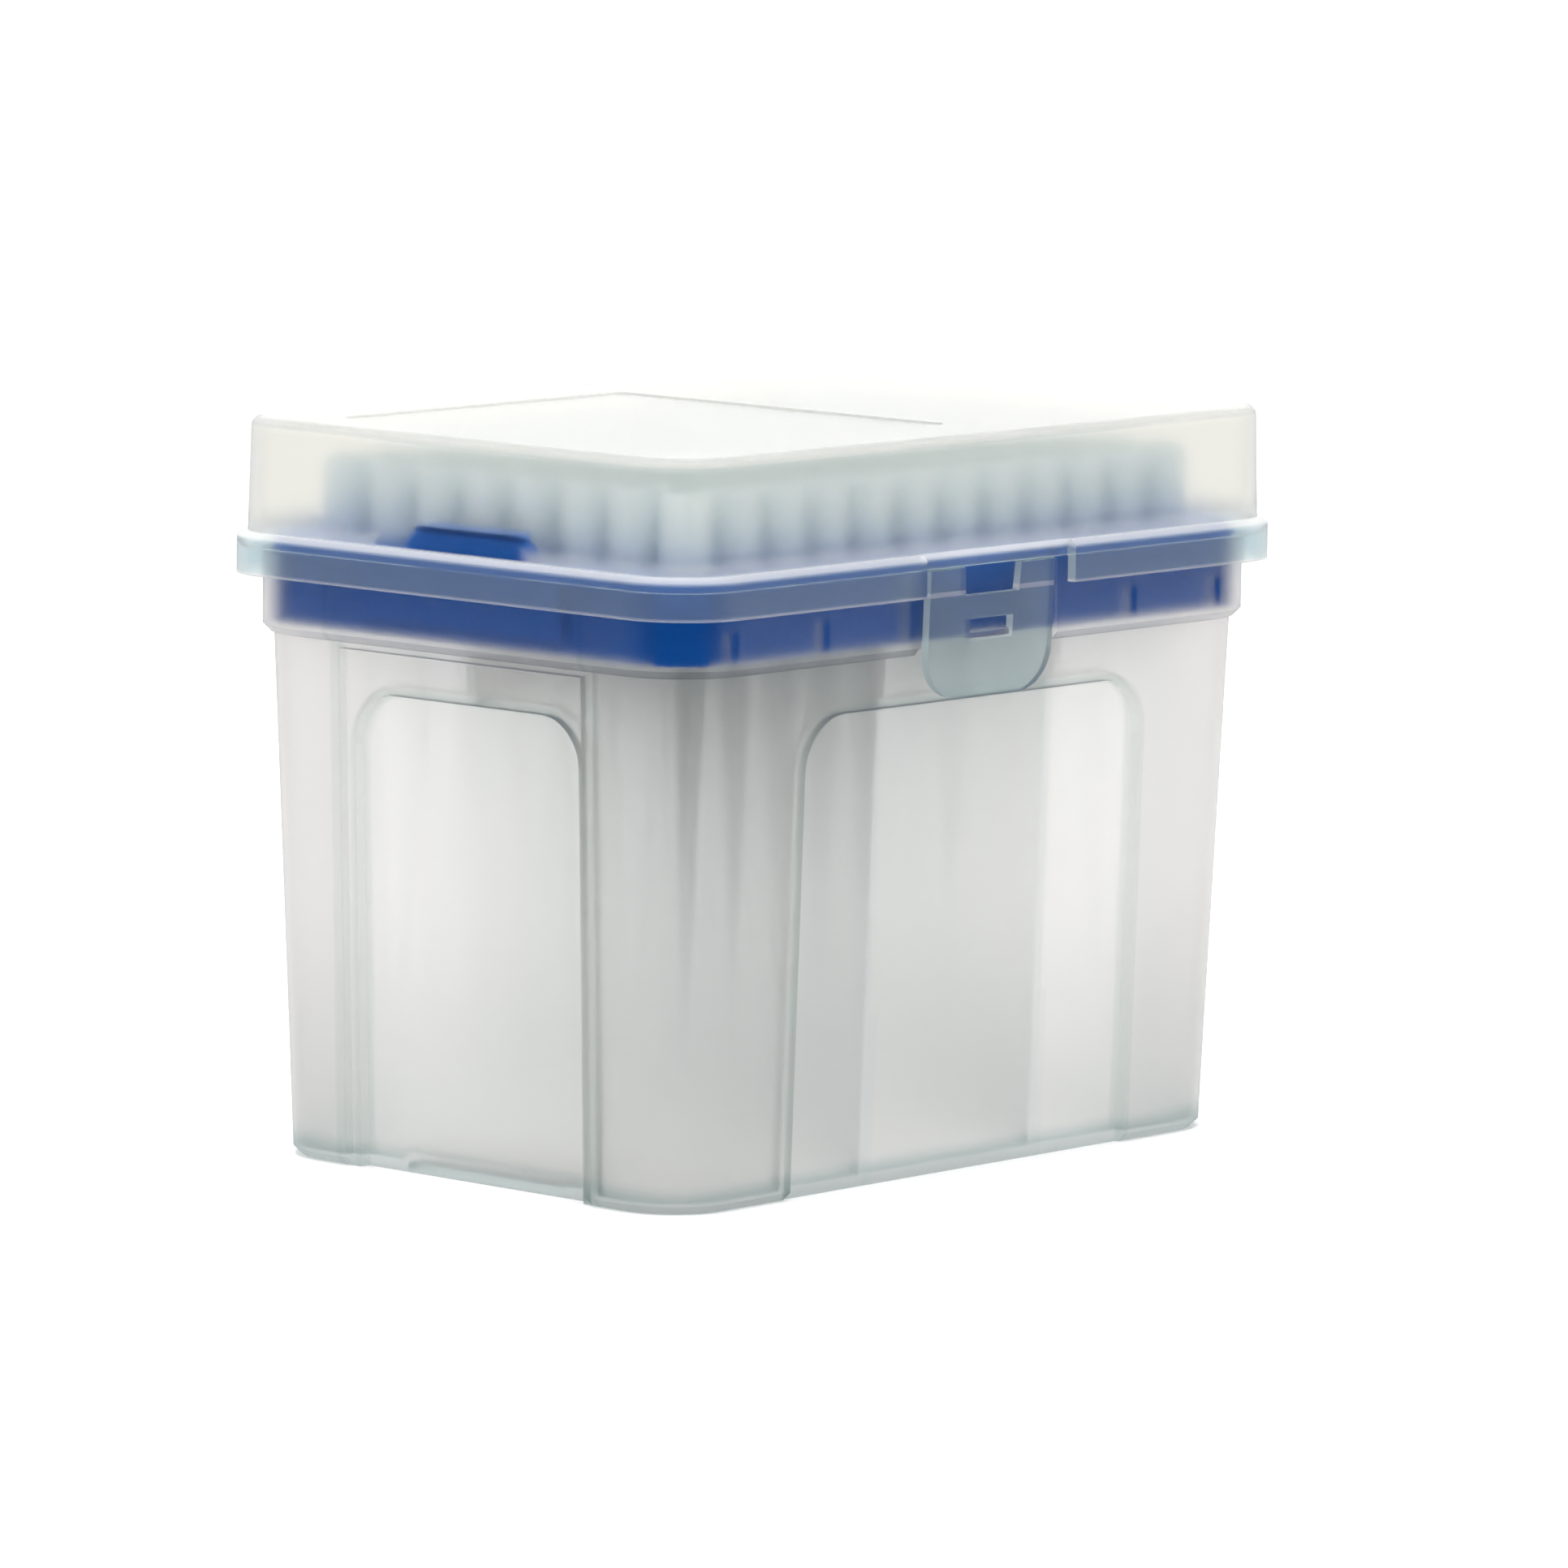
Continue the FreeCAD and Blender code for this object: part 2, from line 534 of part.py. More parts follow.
def make_lid():
    """Lid shell with its stepped flange, notched for the latch and the hinges, and two hinge clips."""
    shell = lid_block(0.0, LID_BOTTOM_Z, LID_TOP_Z, LID_ROUND)
    levels = ((0.0, FLANGE_BOTTOM_Z), (0.0, FLANGE_TOP_Z - FLANGE_BEVEL), (FLANGE_BEVEL, FLANGE_TOP_Z))
    step = FLANGE_STEP
    flange = stacked_block(LID_HALF_X + step, LID_HALF_Y + step, LID_CORNER + step, levels)
    inner = FLANGE_STEP - FLANGE_WALL
    flange = flange.cut(block(LID_HALF_X + inner, LID_HALF_Y + inner, LID_CORNER + inner,
                              FLANGE_BOTTOM_Z - 1, LID_BOTTOM_Z))
    wall_form = lid_block(0.0, LID_BOTTOM_Z, LID_TOP_Z)
    notch = box((-LATCH_NOTCH_HALF, -FAR, 0), (LATCH_NOTCH_HALF, 0, FAR)).cut(wall_form)
    flange = flange.cut(notch)
    notch_half = CLIP_WIDTH / 2 + EAR_GAP + EAR_WALL + HINGE_NOTCH_MARGIN
    for x in (-HINGE_X, HINGE_X):
        gap = box((x - notch_half, 0, 0), (x + notch_half, FAR, FAR)).cut(wall_form)
        flange = flange.cut(gap)
    lid = fuse([shell, flange])
    lid = lid.cut(lid_block(LID_WALL, FLANGE_BOTTOM_Z - 2, LID_TOP_Z - LID_TOP))
    lid = fuse([lid, hinge_clip(-HINGE_X), hinge_clip(HINGE_X)])
    label_half_y = LID_HALF_Y - LABEL_SIDE_MARGIN
    label = block(LABEL_LENGTH / 2, label_half_y, LABEL_CORNER, LID_TOP_Z - LABEL_DEPTH, LID_TOP_Z + 1)
    label.translate(V(-LID_HALF_X + LABEL_END_MARGIN + LABEL_LENGTH / 2, 0, 0))
    gate = Part.makeCylinder(GATE_RADIUS, 1.0, V(0, 0, LID_TOP_Z - LABEL_DEPTH))
    return lid.cut(label).cut(gate)


def hinge_clip(x):
    """Open hook on the lid that snaps over the tub's pin."""
    bore = PIN_RADIUS + PIN_CLEARANCE
    outer = bore + CLIP_WALL
    low_x = x - CLIP_WIDTH / 2
    barrel = Part.makeCylinder(outer, CLIP_WIDTH, V(low_x, HINGE_Y, HINGE_Z), V(1, 0, 0))
    arm = box((low_x, LID_HALF_Y - LID_WALL / 2, LID_BOTTOM_Z), (low_x + CLIP_WIDTH, HINGE_Y, FLANGE_TOP_Z))
    web = box((low_x, HINGE_Y - outer, HINGE_Z), (low_x + CLIP_WIDTH, HINGE_Y + outer, HINGE_Z + outer))
    hook = fuse([barrel, arm, web.common(box((low_x, 0, HINGE_Z), (low_x + CLIP_WIDTH, HINGE_Y, FAR)))])
    hook = hook.cut(Part.makeCylinder(bore, CLIP_WIDTH, V(low_x, HINGE_Y, HINGE_Z), V(1, 0, 0)))
    mouth_half = PIN_RADIUS * CLIP_MOUTH_SHARE
    mouth = Part.makeBox(CLIP_WIDTH, FAR, 2 * mouth_half, V(low_x, 0, -mouth_half))
    mouth.rotate(V(0, 0, 0), V(1, 0, 0), -90)
    mouth.translate(V(0, HINGE_Y, HINGE_Z))
    return hook.cut(mouth)


def make_latch():
    """Tongue that hangs from the lid's edge, with a window above and the catch's slot below."""
    top_z = LID_BOTTOM_Z - LATCH_GAP
    outer_y = -LID_HALF_Y
    height = top_z - LATCH_BOTTOM_Z
    lean = LID_HALF_Y - TUB_HALF_Y - LATCH_THICK - LATCH_REST_GAP
    corner = LATCH_CORNER
    bend = corner * (1 - math.sqrt(0.5))
    left_middle = V(-LATCH_HALF + bend, 0, LATCH_BOTTOM_Z + bend)
    right_middle = V(LATCH_HALF - bend, 0, LATCH_BOTTOM_Z + bend)
    left_arc = Part.Arc(
        V(-LATCH_HALF, 0, LATCH_BOTTOM_Z + corner), left_middle, V(-LATCH_HALF + corner, 0, LATCH_BOTTOM_Z)
    )
    right_arc = Part.Arc(
        V(LATCH_HALF - corner, 0, LATCH_BOTTOM_Z), right_middle, V(LATCH_HALF, 0, LATCH_BOTTOM_Z + corner)
    )
    edges = [
        Part.makeLine(V(-LATCH_HALF, 0, top_z), V(-LATCH_HALF, 0, LATCH_BOTTOM_Z + corner)),
        left_arc.toShape(),
        Part.makeLine(V(-LATCH_HALF + corner, 0, LATCH_BOTTOM_Z), V(LATCH_HALF - corner, 0, LATCH_BOTTOM_Z)),
        right_arc.toShape(),
        Part.makeLine(V(LATCH_HALF, 0, LATCH_BOTTOM_Z + corner), V(LATCH_HALF, 0, top_z)),
        Part.makeLine(V(LATCH_HALF, 0, top_z), V(-LATCH_HALF, 0, top_z)),
    ]
    tongue = Part.Face(Part.Wire(edges)).extrude(V(0, LATCH_THICK, 0))
    window = [
        V(-LATCH_WINDOW_TOP_HALF, 0, top_z + 1),
        V(LATCH_WINDOW_TOP_HALF, 0, top_z + 1),
        V(LATCH_WINDOW_BOTTOM_HALF, 0, top_z - LATCH_WINDOW_HEIGHT),
        V(-LATCH_WINDOW_BOTTOM_HALF, 0, top_z - LATCH_WINDOW_HEIGHT),
    ]
    window_cut = Part.Face(Part.makePolygon(window + [window[0]])).extrude(V(0, 2 * LATCH_THICK, 0))
    window_cut.translate(V(0, -LATCH_THICK / 2, 0))
    slot_half = CATCH_HALF + SLOT_GAP
    slot = box((-slot_half, -LATCH_THICK, CATCH_Z - SLOT_GAP),
               (slot_half, 2 * LATCH_THICK, CATCH_Z + CATCH_HEIGHT + SLOT_HEADROOM))
    tongue = tongue.cut(window_cut).cut(slot)
    tilt = math.degrees(math.atan(lean / height))
    tongue.rotate(V(0, 0, top_z), V(1, 0, 0), tilt)
    tongue.translate(V(0, outer_y, 0))
    return tongue


def write_parts():
    """Builds every node and writes its STEP file."""
    os.makedirs("parts", exist_ok=True)
    nodes = {
        "base_box": make_base_box(),
        "tip_tray": make_tray(),
        "lid": make_lid(),
        "latch": make_latch(),
    }
    for number, column in enumerate(tip_centres(), start=1):
        tips = [make_tip(x, y) for x, y in column]
        nodes["tips_column_%02d" % number] = Part.makeCompound(tips)
    for name, shape in nodes.items():
        shape.exportStep("parts/%s.step" % name)
        size = shape.BoundBox
        print("%-16s solids %d valid %s volume %9.1f z %.2f..%.2f" % (
            name, len(shape.Solids), shape.isValid(), shape.Volume, size.ZMin, size.ZMax))


write_parts()
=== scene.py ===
import json
import math

import bpy
from mathutils import Matrix, Vector


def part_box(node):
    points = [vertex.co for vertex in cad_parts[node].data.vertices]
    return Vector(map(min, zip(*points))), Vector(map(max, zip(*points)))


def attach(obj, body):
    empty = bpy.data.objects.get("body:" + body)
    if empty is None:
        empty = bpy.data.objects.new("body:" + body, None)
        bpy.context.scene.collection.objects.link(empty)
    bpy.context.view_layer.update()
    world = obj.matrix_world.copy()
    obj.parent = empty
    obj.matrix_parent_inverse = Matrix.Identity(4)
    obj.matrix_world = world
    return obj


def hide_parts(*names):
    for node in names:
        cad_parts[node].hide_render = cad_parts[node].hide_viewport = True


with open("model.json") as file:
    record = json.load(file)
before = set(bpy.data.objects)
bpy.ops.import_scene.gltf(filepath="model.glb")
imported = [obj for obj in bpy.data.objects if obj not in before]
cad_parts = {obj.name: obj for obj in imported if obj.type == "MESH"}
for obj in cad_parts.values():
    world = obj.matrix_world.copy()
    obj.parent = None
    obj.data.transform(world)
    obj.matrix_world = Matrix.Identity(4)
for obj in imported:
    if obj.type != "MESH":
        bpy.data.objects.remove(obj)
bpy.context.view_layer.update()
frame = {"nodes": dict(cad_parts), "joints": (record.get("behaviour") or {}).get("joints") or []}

# Tub: one deep injection moulding in natural polypropylene, with a wider collar, arched recesses and
# two thin walls across the inside. It is 1.2 mm thick, and drafted so that it leaves the mould.
MM = 0.001
TUB_MILK = "FBFAF9"
TUB_WAVE = "F9F8F7"
TUB_CLOUD = 35.0 * MM
INNER_WALL_SHADE = "F4F5F5"
INNER_WALL_X = 18.0 * MM
INNER_WALL_HALF = 1.0 * MM
INNER_WALL_REACH = 38.6 * MM
LOW_SHADE = "F5F6F6"
LOW_FULL_Z = 5.0 * MM
LOW_END_Z = 42.0 * MM
POST_TINT = "F8F8F8"
LONG_ARCH_HALF = 35.5 * MM
SHORT_ARCH_HALF = 21.2 * MM
ARCH_CORNER = 7.5 * MM
ARCH_TOP_Z = 67.0 * MM
ARCH_END_X = 53.0 * MM
FOOT_SHADE = "DEE8E8"
FOOT_FULL_Z = 0.8 * MM
FOOT_END_Z = 4.5 * MM
FOOT_SIDE_Y = 35.0 * MM
FOOT_END_X = 53.5 * MM
LINE_SHADE = "EEF3F2"
ARCH_LINE_OUT = 0.3 * MM
ARCH_LINE_FULL = 0.3 * MM
ARCH_LINE_END = 1.0 * MM
POST_LINE_Y = 24.2 * MM
POST_LINE_FULL = 0.2 * MM
POST_LINE_END = 0.9 * MM
GRAIN_SHARE = 0.12
SKIN_STRENGTH = 0.2


def colour(hex_text):
    """sRGB hex to a linear RGBA colour."""
    channels = [int(hex_text[i:i + 2], 16) / 255 for i in (0, 2, 4)]
    linear = [c / 12.92 if c <= 0.04045 else ((c + 0.055) / 1.055) ** 2.4 for c in channels]
    return (*linear, 1.0)


def add_node(tree, kind, settings=None, links=None):
    """Adds a shader node, sets its values and links its inputs."""
    node = tree.nodes.new(kind)
    for name, value in (settings or {}).items():
        if isinstance(name, int) or name in node.inputs:
            node.inputs[name].default_value = value
        else:
            setattr(node, name, value)
    for name, socket in (links or {}).items():
        tree.links.new(socket, node.inputs[name])
    return node


def new_material(name):
    """Empty node material."""
    material = bpy.data.materials.new(name)
    material.use_nodes = True
    material.node_tree.nodes.clear()
    return material


def moulded_skin(tree, place, ripple_mm, grain_mm, depth_mm):
    """Bump of a moulded skin: slow waves from shrinkage, and the tool's grain drawn coarse enough to show."""
    ripple = add_node(tree, "ShaderNodeTexNoise", {"Scale": 1 / (ripple_mm * MM), "Detail": 1.0},
                      {"Vector": place.outputs["Object"]})
    grain = add_node(tree, "ShaderNodeTexNoise", {"Scale": 1 / (grain_mm * MM), "Detail": 2.0},
                     {"Vector": place.outputs["Object"]})
    height = add_node(tree, "ShaderNodeMath", {"operation": "MULTIPLY_ADD", 1: GRAIN_SHARE},
                      {0: grain.outputs["Fac"], 2: ripple.outputs["Fac"]})
    return add_node(tree, "ShaderNodeBump", {"Strength": SKIN_STRENGTH, "Distance": depth_mm * MM},
                    {"Height": height.outputs["Value"]})


def dress(node, material):
    """Gives a node of the frame its material in every slot."""
    for slot in frame["nodes"][node].material_slots:
        slot.material = material


# Natural polypropylene, injection-moulded: the wall scatters light inside itself, so what touches it
# shows sharply and what stands further back melts into a blur. The milkiness drifts a little.
tub_plastic = new_material("frosted natural polypropylene")
tree = tub_plastic.node_tree
place = add_node(tree, "ShaderNodeTexCoord")
cloud = add_node(tree, "ShaderNodeTexNoise", {"Scale": 1 / TUB_CLOUD, "Detail": 2.0},
                 {"Vector": place.outputs["Object"]})
milk = add_node(tree, "ShaderNodeMix", {"data_type": "RGBA", 6: colour(TUB_MILK), 7: colour(TUB_WAVE)},
                {0: cloud.outputs["Fac"]})
axes = add_node(tree, "ShaderNodeSeparateXYZ", {}, {"Vector": place.outputs["Object"]})
across = add_node(tree, "ShaderNodeMath", {"operation": "ABSOLUTE"}, {0: axes.outputs["X"]})
beside = add_node(tree, "ShaderNodeMath", {"operation": "ABSOLUTE"}, {0: axes.outputs["Y"]})

# Painted shade: the two inner walls are coloured a shade darker than the faces that they join.
near_wall = add_node(tree, "ShaderNodeMath", {"operation": "COMPARE", 1: INNER_WALL_X, 2: INNER_WALL_HALF},
                     {0: across.outputs["Value"]})
inside = add_node(tree, "ShaderNodeMath", {"operation": "COMPARE", 1: 0.0, 2: INNER_WALL_REACH},
                  {0: axes.outputs["Y"]})
on_wall = add_node(tree, "ShaderNodeMath", {"operation": "MULTIPLY"},
                   {0: near_wall.outputs["Value"], 1: inside.outputs["Value"]})
tint = add_node(tree, "ShaderNodeMix", {"data_type": "RGBA", 7: colour(INNER_WALL_SHADE)},
                {0: on_wall.outputs["Value"], 6: milk.outputs[2]})

# Painted shade: low down, floor and walls stand closer behind one another, so the tub is painted a shade
# darker there.
low_down = add_node(tree, "ShaderNodeMapRange",
                    {"interpolation_type": "SMOOTHSTEP", "From Min": LOW_FULL_Z, "From Max": LOW_END_Z,
                     "To Min": 1.0, "To Max": 0.0}, {"Value": axes.outputs["Z"]})
deep = add_node(tree, "ShaderNodeMix", {"data_type": "RGBA", "blend_type": "MULTIPLY", 7: colour(LOW_SHADE)},
                {0: low_down.outputs["Result"], 6: tint.outputs[2]})

# How far a point lies outside its face's arch, taken from the arch drawn in by its corner radius.
at_end = add_node(tree, "ShaderNodeMath", {"operation": "GREATER_THAN", 1: ARCH_END_X},
                  {0: across.outputs["Value"]})
from_middle = add_node(tree, "ShaderNodeMix", {"data_type": "FLOAT"},
                       {0: at_end.outputs["Value"], 2: across.outputs["Value"], 3: beside.outputs["Value"]})
straight_half = add_node(tree, "ShaderNodeMix",
                         {"data_type": "FLOAT", 2: LONG_ARCH_HALF - ARCH_CORNER,
                          3: SHORT_ARCH_HALF - ARCH_CORNER}, {0: at_end.outputs["Value"]})
past_side = add_node(tree, "ShaderNodeMath", {"operation": "SUBTRACT"},
                     {0: from_middle.outputs[0], 1: straight_half.outputs[0]})
past_top = add_node(tree, "ShaderNodeMath", {"operation": "SUBTRACT", 1: ARCH_TOP_Z - ARCH_CORNER},
                    {0: axes.outputs["Z"]})
corner_way = add_node(tree, "ShaderNodeCombineXYZ", {},
                      {"X": past_side.outputs["Value"], "Y": past_top.outputs["Value"]})
outward = add_node(tree, "ShaderNodeVectorMath", {"operation": "MAXIMUM", 1: (0, 0, 0)},
                   {0: corner_way.outputs["Vector"]})
reach = add_node(tree, "ShaderNodeVectorMath", {"operation": "LENGTH"}, {0: outward.outputs["Vector"]})

# The corner posts, outside the arches, are a shade darker than the thin panels within them.
outside = add_node(tree, "ShaderNodeMath", {"operation": "GREATER_THAN", 1: ARCH_CORNER},
                   {0: reach.outputs["Value"]})
posts = add_node(tree, "ShaderNodeMix",
                 {"data_type": "RGBA", "blend_type": "MULTIPLY", 7: colour(POST_TINT)},
                 {0: outside.outputs["Value"], 6: deep.outputs[2]})

# Painted shade: a greenish grey band darkens the foot along the floor's edge, where wall and floor meet.
at_floor = add_node(tree, "ShaderNodeMapRange",
                    {"interpolation_type": "SMOOTHSTEP", "From Min": FOOT_FULL_Z, "From Max": FOOT_END_Z,
                     "To Min": 1.0, "To Max": 0.0}, {"Value": axes.outputs["Z"]})
foot_end = add_node(tree, "ShaderNodeMath", {"operation": "GREATER_THAN", 1: FOOT_END_X},
                    {0: across.outputs["Value"]})
foot_side = add_node(tree, "ShaderNodeMath", {"operation": "GREATER_THAN", 1: FOOT_SIDE_Y},
                     {0: beside.outputs["Value"]})
foot = add_node(tree, "ShaderNodeMath", {"operation": "MAXIMUM"},
                {0: foot_end.outputs["Value"], 1: foot_side.outputs["Value"]})
foot = add_node(tree, "ShaderNodeMath", {"operation": "MULTIPLY"},
                {0: foot.outputs["Value"], 1: at_floor.outputs["Result"]})
footed = add_node(tree, "ShaderNodeMix",
                  {"data_type": "RGBA", "blend_type": "MULTIPLY", 7: colour(FOOT_SHADE)},
                  {0: foot.outputs["Value"], 6: posts.outputs[2]})

# Painted shade: the step round each arch and the edge of each end post are drawn as thin darker lines.
off_line = add_node(tree, "ShaderNodeMath", {"operation": "SUBTRACT", 1: ARCH_CORNER + ARCH_LINE_OUT},
                    {0: reach.outputs["Value"]})
off_line = add_node(tree, "ShaderNodeMath", {"operation": "ABSOLUTE"}, {0: off_line.outputs["Value"]})
on_line = add_node(tree, "ShaderNodeMapRange",
                   {"interpolation_type": "SMOOTHSTEP", "From Min": ARCH_LINE_FULL, "From Max": ARCH_LINE_END,
                    "To Min": 1.0, "To Max": 0.0}, {"Value": off_line.outputs["Value"]})
off_post = add_node(tree, "ShaderNodeMath", {"operation": "SUBTRACT", 1: POST_LINE_Y},
                    {0: beside.outputs["Value"]})
off_post = add_node(tree, "ShaderNodeMath", {"operation": "ABSOLUTE"}, {0: off_post.outputs["Value"]})
on_post = add_node(tree, "ShaderNodeMapRange",
                   {"interpolation_type": "SMOOTHSTEP", "From Min": POST_LINE_FULL, "From Max": POST_LINE_END,
                    "To Min": 1.0, "To Max": 0.0}, {"Value": off_post.outputs["Value"]})
on_post = add_node(tree, "ShaderNodeMath", {"operation": "MULTIPLY"},
                   {0: on_post.outputs["Result"], 1: at_end.outputs["Value"]})
on_line = add_node(tree, "ShaderNodeMath", {"operation": "MAXIMUM"},
                   {0: on_line.outputs["Result"], 1: on_post.outputs["Value"]})
line_shaded = add_node(tree, "ShaderNodeMix",
                 {"data_type": "RGBA", "blend_type": "MULTIPLY", 7: colour(LINE_SHADE)},
                 {0: on_line.outputs["Value"], 6: footed.outputs[2]})

# A dull satin gloss over a skin that ripples slowly. The rough, weak bend is what blurs the inside.
skin = moulded_skin(tree, place, ripple_mm=16, grain_mm=0.7, depth_mm=0.05)
body = add_node(tree, "ShaderNodeBsdfPrincipled",
                {"Roughness": 0.8, "IOR": 1.2, "Transmission Weight": 1.0,
                 "Specular Tint": (0.05, 0.05, 0.05, 1)},
                {"Base Color": line_shaded.outputs[2], "Normal": skin.outputs["Normal"]})
add_node(tree, "ShaderNodeOutputMaterial", {}, {"Surface": body.outputs["BSDF"]})
dress("base_box", tub_plastic)

# Lid and latch: the same plastic, thinner and from a better polished tool, so it is clearer. The
# latch is moulded with the lid and hangs from it by a thin web; the lid clips round the tub's pins.
LID_MILK = "F9F8F4"
LID_WAVE = "F6F6F2"
LID_CLOUD = 28.0 * MM
FLANGE_MILK = "DEEBEE"
FLANGE_TOP_Z = 88.1 * MM
FLANGE_BOTTOM_Z = 82.2 * MM
FLANGE_MARGIN = 0.1 * MM
FLANGE_CLEAR = 0.95
LIP_HIGHLIGHT = "FFFEFC"
LIP_CLEAR = 0.62
LIP_START_Z = FLANGE_TOP_Z - 1.3 * MM
LIP_FULL_Z = FLANGE_TOP_Z - 0.39 * MM
EDGE_LINE = 0.35 * MM
EDGE_CLEAR = 0.9
ROOT_MILK = "DDE6EA"
ROOT_CLEAR = 0.8
ROOT_TOP_Z = 90.8 * MM
TAB_SIDE_X = 59.5 * MM
TAB_CLEAR_Y = 12.5 * MM
TAB_FADE_Y = 22.0 * MM
ROOF_Z = 102.3 * MM
ROOF_CLEAR = 0.92

# Clear natural polypropylene, injection-moulded in a polished tool: the tips show through it, a little soft,
# under a low gloss. It is milkier where it is thick, at the flange's lip and the walls' root, and the lip and
# the flange's lower edge are whitened as painted highlight lines.
lid_plastic = new_material("clear natural polypropylene")
tree = lid_plastic.node_tree
place = add_node(tree, "ShaderNodeTexCoord")
cloud = add_node(tree, "ShaderNodeTexNoise", {"Scale": 1 / LID_CLOUD, "Detail": 2.0},
                 {"Vector": place.outputs["Object"]})
milk = add_node(tree, "ShaderNodeMix", {"data_type": "RGBA", 6: colour(LID_MILK), 7: colour(LID_WAVE)},
                {0: cloud.outputs["Fac"]})
axes = add_node(tree, "ShaderNodeSeparateXYZ", {}, {"Vector": place.outputs["Object"]})
across = add_node(tree, "ShaderNodeMath", {"operation": "ABSOLUTE"}, {0: axes.outputs["X"]})
beside = add_node(tree, "ShaderNodeMath", {"operation": "ABSOLUTE"}, {0: axes.outputs["Y"]})

# Where the flange is, with the lip at its top and the line of its lower edge, which both carry a painted
# highlight.
in_flange = add_node(tree, "ShaderNodeMath", {"operation": "LESS_THAN", 1: FLANGE_TOP_Z + FLANGE_MARGIN},
                     {0: axes.outputs["Z"]})
on_lip = add_node(tree, "ShaderNodeMapRange",
                  {"interpolation_type": "SMOOTHSTEP", "From Min": LIP_START_Z, "From Max": LIP_FULL_Z},
                  {"Value": axes.outputs["Z"]})
on_edge = add_node(tree, "ShaderNodeMath", {"operation": "COMPARE", 1: FLANGE_BOTTOM_Z, 2: EDGE_LINE},
                   {0: axes.outputs["Z"]})

# The walls clear upwards from their thick root, and stay clear in front of the tray's finger tabs.
above_flange = add_node(tree, "ShaderNodeMapRange",
                        {"interpolation_type": "SMOOTHSTEP", "From Min": FLANGE_TOP_Z, "From Max": ROOT_TOP_Z,
                         "To Min": ROOT_CLEAR, "To Max": 1.0}, {"Value": axes.outputs["Z"]})
at_end = add_node(tree, "ShaderNodeMath", {"operation": "GREATER_THAN", 1: TAB_SIDE_X},
                  {0: across.outputs["Value"]})
by_tab = add_node(tree, "ShaderNodeMapRange",
                  {"interpolation_type": "SMOOTHSTEP", "From Min": TAB_CLEAR_Y, "From Max": TAB_FADE_Y,
                   "To Min": 1.0, "To Max": 0.0}, {"Value": beside.outputs["Value"]})
by_tab = add_node(tree, "ShaderNodeMath", {"operation": "MULTIPLY"},
                  {0: by_tab.outputs["Result"], 1: at_end.outputs["Value"]})
above_flange = add_node(tree, "ShaderNodeMath", {"operation": "MAXIMUM"},
                        {0: above_flange.outputs["Result"], 1: by_tab.outputs["Value"]})

# How clear each zone is.
flange = add_node(tree, "ShaderNodeMix", {"data_type": "FLOAT", 2: FLANGE_CLEAR, 3: LIP_CLEAR},
                  {0: on_lip.outputs["Result"]})
clear = add_node(tree, "ShaderNodeMix", {"data_type": "FLOAT"},
                 {0: in_flange.outputs["Value"], 2: above_flange.outputs["Value"], 3: flange.outputs[0]})
clear = add_node(tree, "ShaderNodeMix", {"data_type": "FLOAT", 3: EDGE_CLEAR},
                 {0: on_edge.outputs["Value"], 2: clear.outputs[0]})
in_roof = add_node(tree, "ShaderNodeMath", {"operation": "GREATER_THAN", 1: ROOF_Z},
                   {0: axes.outputs["Z"]})
clear = add_node(tree, "ShaderNodeMix", {"data_type": "FLOAT", 3: ROOF_CLEAR},
                 {0: in_roof.outputs["Value"], 2: clear.outputs[0]})

# What colour the milk is in each zone: bluish in the root and flange, and a painted white highlight on lip
# and edge.
root = add_node(tree, "ShaderNodeMix", {"data_type": "RGBA", 6: colour(ROOT_MILK)},
                {0: above_flange.outputs["Value"], 7: milk.outputs[2]})
hazed = add_node(tree, "ShaderNodeMix", {"data_type": "RGBA", 7: colour(FLANGE_MILK)},
                 {0: in_flange.outputs["Value"], 6: root.outputs[2]})
painted_highlight = add_node(tree, "ShaderNodeMath", {"operation": "MULTIPLY"},
               {0: in_flange.outputs["Value"], 1: on_lip.outputs["Result"]})
painted_highlight = add_node(tree, "ShaderNodeMath", {"operation": "MAXIMUM"},
               {0: on_edge.outputs["Value"], 1: painted_highlight.outputs["Value"]})
hazed = add_node(tree, "ShaderNodeMix", {"data_type": "RGBA", 7: colour(LIP_HIGHLIGHT)},
                 {0: painted_highlight.outputs["Value"], 6: hazed.outputs[2]})

skin = moulded_skin(tree, place, ripple_mm=18, grain_mm=0.7, depth_mm=0.015)
body = add_node(tree, "ShaderNodeBsdfPrincipled",
                {"Roughness": 0.36, "IOR": 1.17, "Specular Tint": (0.1, 0.1, 0.1, 1)},
                {"Base Color": hazed.outputs[2], "Transmission Weight": clear.outputs[0],
                 "Normal": skin.outputs["Normal"]})
add_node(tree, "ShaderNodeOutputMaterial", {}, {"Surface": body.outputs["BSDF"]})
dress("lid", lid_plastic)
dress("latch", lid_plastic)

